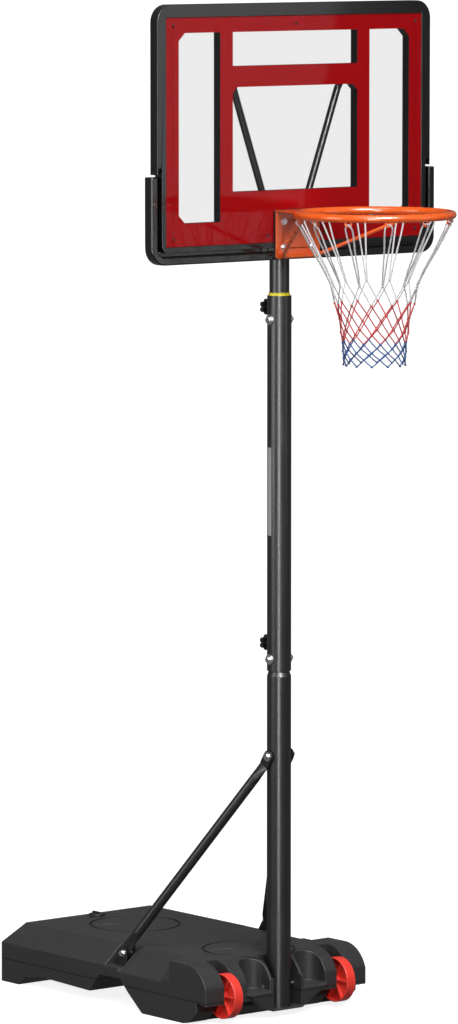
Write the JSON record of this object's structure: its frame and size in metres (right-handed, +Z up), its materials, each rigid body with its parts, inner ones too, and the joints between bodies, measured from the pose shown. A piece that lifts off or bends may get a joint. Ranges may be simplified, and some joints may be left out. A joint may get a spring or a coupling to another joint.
{
  "type": "portable basketball hoop",
  "caption": "Portable basketball hoop with a wheeled water-filled base, a braced telescopic pole, a framed clear backboard, and a ring with a net.",
  "frame": {"origin": "on the floor, under the centre of the whole hoop's box", "axes": "+Z up, -Y towards the court (the ring's side), +X to the right as seen from the court's far side, along the board"},
  "size_m": [1.132, 1.7194, 3.168],
  "materials": {
    "tank_plastic": "matte",
    "ballast": "gloss",
    "black_plastic": "satin",
    "seal_rubber": "matte",
    "wheel_plastic": "satin",
    "zinc_steel": "satin",
    "pole_paint": "satin",
    "guide_plastic": "satin",
    "strip_paper": "satin",
    "frame_plastic": "gloss",
    "clear_sheet": "gloss",
    "red_film": "gloss",
    "black_screws": "satin",
    "rim_paint": "gloss",
    "net_cord": "matte"
  },
  "bodies": {
    "base": {"base_tank": "tank_plastic", "ballast_water": "ballast", "pole_foot_cap": "black_plastic", "cap_seal": "seal_rubber", "wheel_axle_left": "zinc_steel", "wheel_axle_right": "zinc_steel", "foot_pin": "zinc_steel", "joint_bolt": "zinc_steel", "lock_bolt": "zinc_steel", "strut_top_bolt": "zinc_steel", "strut_foot_bolts": "zinc_steel", "lower_pole": "pole_paint", "middle_pole": "pole_paint", "base_strut_left": "pole_paint", "base_strut_right": "pole_paint", "knob_weld_nuts": "pole_paint", "saddle_washers": "pole_paint", "strut_spacers": "pole_paint", "lug_spacers": "pole_paint", "strut_lugs": "pole_paint", "guide_ring": "guide_plastic", "blank_strip": "strip_paper"},
    "hoop_head": {"upper_pole": "pole_paint", "upper_pole_top_cap": "black_plastic", "upper_pole_foot_cap": "black_plastic", "backboard_frame": "frame_plastic", "backboard_sheet": "clear_sheet", "backboard_print": "red_film", "backboard_screws": "black_screws", "edge_guard": "frame_plastic", "pole_bracket": "pole_paint", "bracket_bolts": "zinc_steel", "backboard_brace_left": "pole_paint", "backboard_brace_right": "pole_paint", "brace_screws": "zinc_steel", "rim_spacer": "seal_rubber", "rim_bracket": "rim_paint", "rim_ring": "rim_paint", "rim_brace": "rim_paint", "rim_bolts": "zinc_steel", "net_hooks": "rim_paint", "net": "net_cord"},
    "wheel_left": {"wheel_left": "wheel_plastic"},
    "wheel_right": {"wheel_right": "wheel_plastic"},
    "stud_upper": {"knob_stud_upper": "zinc_steel"},
    "stud_lower": {"knob_stud_lower": "zinc_steel"},
    "knob_upper": {"knob_upper": "black_plastic"},
    "knob_lower": {"knob_lower": "black_plastic"},
    "fill_cap": {"fill_cap": "black_plastic"}
  },
  "joints": [
    {"name": "height_adjust", "type": "slide", "parent": "base", "child": "hoop_head", "axis": [0, 0, 1], "range_m": [-0.055, 0.3]},
    {"name": "wheel_left_roll", "type": "hinge", "parent": "base", "child": "wheel_left", "pos_m": [-0.228, -0.16925, 0.0885], "axis": [1, 0, 0], "continuous": true},
    {"name": "wheel_right_roll", "type": "hinge", "parent": "base", "child": "wheel_right", "pos_m": [0.228, -0.16925, 0.0885], "axis": [1, 0, 0], "continuous": true},
    {"name": "knob_upper_advance", "type": "slide", "parent": "base", "child": "stud_upper", "axis": [0, 1, 0], "range_m": [0, 0.0045]},
    {"name": "knob_upper_turn", "type": "hinge", "parent": "stud_upper", "child": "knob_upper", "pos_m": [0, -0.15625, 2.223], "axis": [0, 1, 0], "range_deg": [0, 1080]},
    {"name": "knob_lower_advance", "type": "slide", "parent": "base", "child": "stud_lower", "axis": [0, 1, 0], "range_m": [0, 0.0045]},
    {"name": "knob_lower_turn", "type": "hinge", "parent": "stud_lower", "child": "knob_lower", "pos_m": [0, -0.15625, 1.172], "axis": [0, 1, 0], "range_deg": [0, 1080]},
    {"name": "fill_cap_lift", "type": "slide", "parent": "base", "child": "fill_cap", "axis": [0, 0, 1], "range_m": [0, 0.06]}
  ],
  "couplings": [
    {"joint": "knob_upper_advance", "follows": "knob_upper_turn", "m_per_rad": 0.0002387},
    {"joint": "knob_lower_advance", "follows": "knob_lower_turn", "m_per_rad": 0.0002387}
  ]
}
